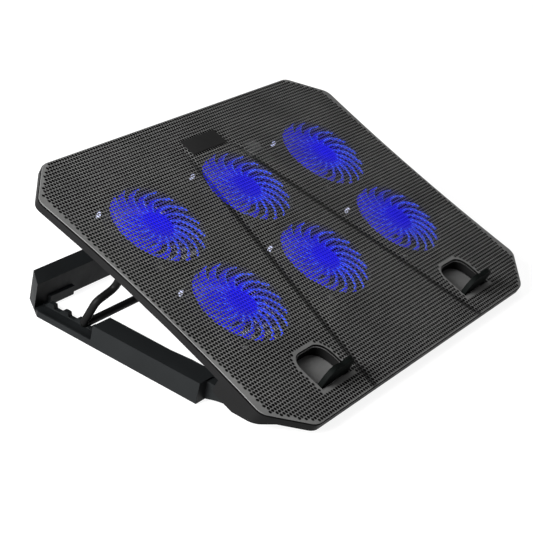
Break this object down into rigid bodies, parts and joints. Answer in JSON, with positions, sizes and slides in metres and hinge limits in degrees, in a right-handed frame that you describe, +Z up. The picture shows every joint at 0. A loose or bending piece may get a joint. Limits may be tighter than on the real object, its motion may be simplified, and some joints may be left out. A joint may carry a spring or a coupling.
{
  "type": "laptop cooling pad",
  "caption": "Tilting laptop cooling pad: perforated octagonal deck with lit fans, flip-up stoppers, a bent wire prop and a notched U-shaped base frame",
  "frame": {"origin": "on the table, under the middle of the whole object's bounding box", "axes": "+X to the user's right along the deck's width, +Y to the rear, +Z up"},
  "size_m": [0.388, 0.266, 0.0989],
  "materials": {
    "shell": "fine-grained black moulding",
    "base": "fine-grained black moulding",
    "mesh_steel": "black-painted perforated sheet",
    "label": "smooth dark plate, plain",
    "wire": "black-painted round rod",
    "pin_steel": "plain bright pin",
    "screw_steel": "bright zinc screw",
    "stopper": "satin black moulding",
    "well": "dull dark grey moulding",
    "fan_frame": "black moulding lit blue from inside",
    "rotor": "translucent blade plastic glowing blue",
    "lamp": "clear blue lamp",
    "foot_rubber": "soft black rubber",
    "circuit_board": "green laminate",
    "socket_steel": "folded sheet shell",
    "cable_sheath": "black sheath"
  },
  "bodies": {
    "base": {"base_frame": "base", "foot_front_left": "foot_rubber", "foot_front_right": "foot_rubber", "foot_rear_left": "foot_rubber", "foot_rear_right": "foot_rubber"},
    "deck": {"bottom_shell": "shell", "mesh_panel": "mesh_steel", "label_plate": "label", "hinge_pin_left": "pin_steel", "hinge_pin_right": "pin_steel", "stopper_cup_left": "well", "stopper_cup_right": "well", "stopper_pin_left": "pin_steel", "stopper_pin_right": "pin_steel", "fan_frame_1": "fan_frame", "fan_lamp_1": "lamp", "fan_screw_1a": "screw_steel", "fan_screw_1b": "screw_steel", "fan_frame_2": "fan_frame", "fan_lamp_2": "lamp", "fan_screw_2a": "screw_steel", "fan_screw_2b": "screw_steel", "fan_frame_3": "fan_frame", "fan_lamp_3": "lamp", "fan_screw_3a": "screw_steel", "fan_screw_3b": "screw_steel", "fan_frame_4": "fan_frame", "fan_lamp_4": "lamp", "fan_screw_4a": "screw_steel", "fan_screw_4b": "screw_steel", "fan_frame_5": "fan_frame", "fan_lamp_5": "lamp", "fan_screw_5a": "screw_steel", "fan_screw_5b": "screw_steel", "fan_frame_6": "fan_frame", "fan_lamp_6": "lamp", "fan_screw_6a": "screw_steel", "fan_screw_6b": "screw_steel", "power_board": "circuit_board", "power_socket": "socket_steel", "wiring_harness": "cable_sheath"},
    "prop": {"prop_wire": "wire"},
    "rotor_1": {"fan_rotor_1": "rotor"},
    "rotor_2": {"fan_rotor_2": "rotor"},
    "rotor_3": {"fan_rotor_3": "rotor"},
    "rotor_4": {"fan_rotor_4": "rotor"},
    "rotor_5": {"fan_rotor_5": "rotor"},
    "rotor_6": {"fan_rotor_6": "rotor"},
    "stopper_left": {"stopper_tab_left": "stopper"},
    "stopper_right": {"stopper_tab_right": "stopper"}
  },
  "joints": [
    {"name": "deck_fold", "type": "hinge", "parent": "base", "child": "deck", "pos_m": [0, -0.08526, 0.012], "axis": [-1, 0, 0], "range_deg": [0, 13.2]},
    {"name": "prop_fold", "type": "hinge", "parent": "deck", "child": "prop", "pos_m": [0, 0.03657, 0.05601], "axis": [1, 0, 0], "range_deg": [0, 80]},
    {"name": "fan_spin_1", "type": "hinge", "parent": "deck", "child": "rotor_1", "pos_m": [-0.115, 0.05388, 0.06672], "axis": [0, -0.3156, 0.9489], "continuous": true},
    {"name": "fan_spin_2", "type": "hinge", "parent": "deck", "child": "rotor_2", "pos_m": [0, 0.05388, 0.06672], "axis": [0, -0.3156, 0.9489], "continuous": true},
    {"name": "fan_spin_3", "type": "hinge", "parent": "deck", "child": "rotor_3", "pos_m": [0.115, 0.05388, 0.06672], "axis": [0, -0.3156, 0.9489], "continuous": true},
    {"name": "fan_spin_4", "type": "hinge", "parent": "deck", "child": "rotor_4", "pos_m": [-0.115, -0.02772, 0.03957], "axis": [0, -0.3156, 0.9489], "continuous": true},
    {"name": "fan_spin_5", "type": "hinge", "parent": "deck", "child": "rotor_5", "pos_m": [0, -0.02772, 0.03957], "axis": [0, -0.3156, 0.9489], "continuous": true},
    {"name": "fan_spin_6", "type": "hinge", "parent": "deck", "child": "rotor_6", "pos_m": [0.115, -0.02772, 0.03957], "axis": [0, -0.3156, 0.9489], "continuous": true},
    {"name": "stopper_flip_left", "type": "hinge", "parent": "deck", "child": "stopper_left", "pos_m": [-0.109, -0.1105, 0.01562], "axis": [-1, 0, 0], "range_deg": [0, 90]},
    {"name": "stopper_flip_right", "type": "hinge", "parent": "deck", "child": "stopper_right", "pos_m": [0.109, -0.1105, 0.01562], "axis": [-1, 0, 0], "range_deg": [0, 90]}
  ],
  "couplings": [
    {"joint": "prop_fold", "follows": "deck_fold", "ratio": 6}
  ]
}
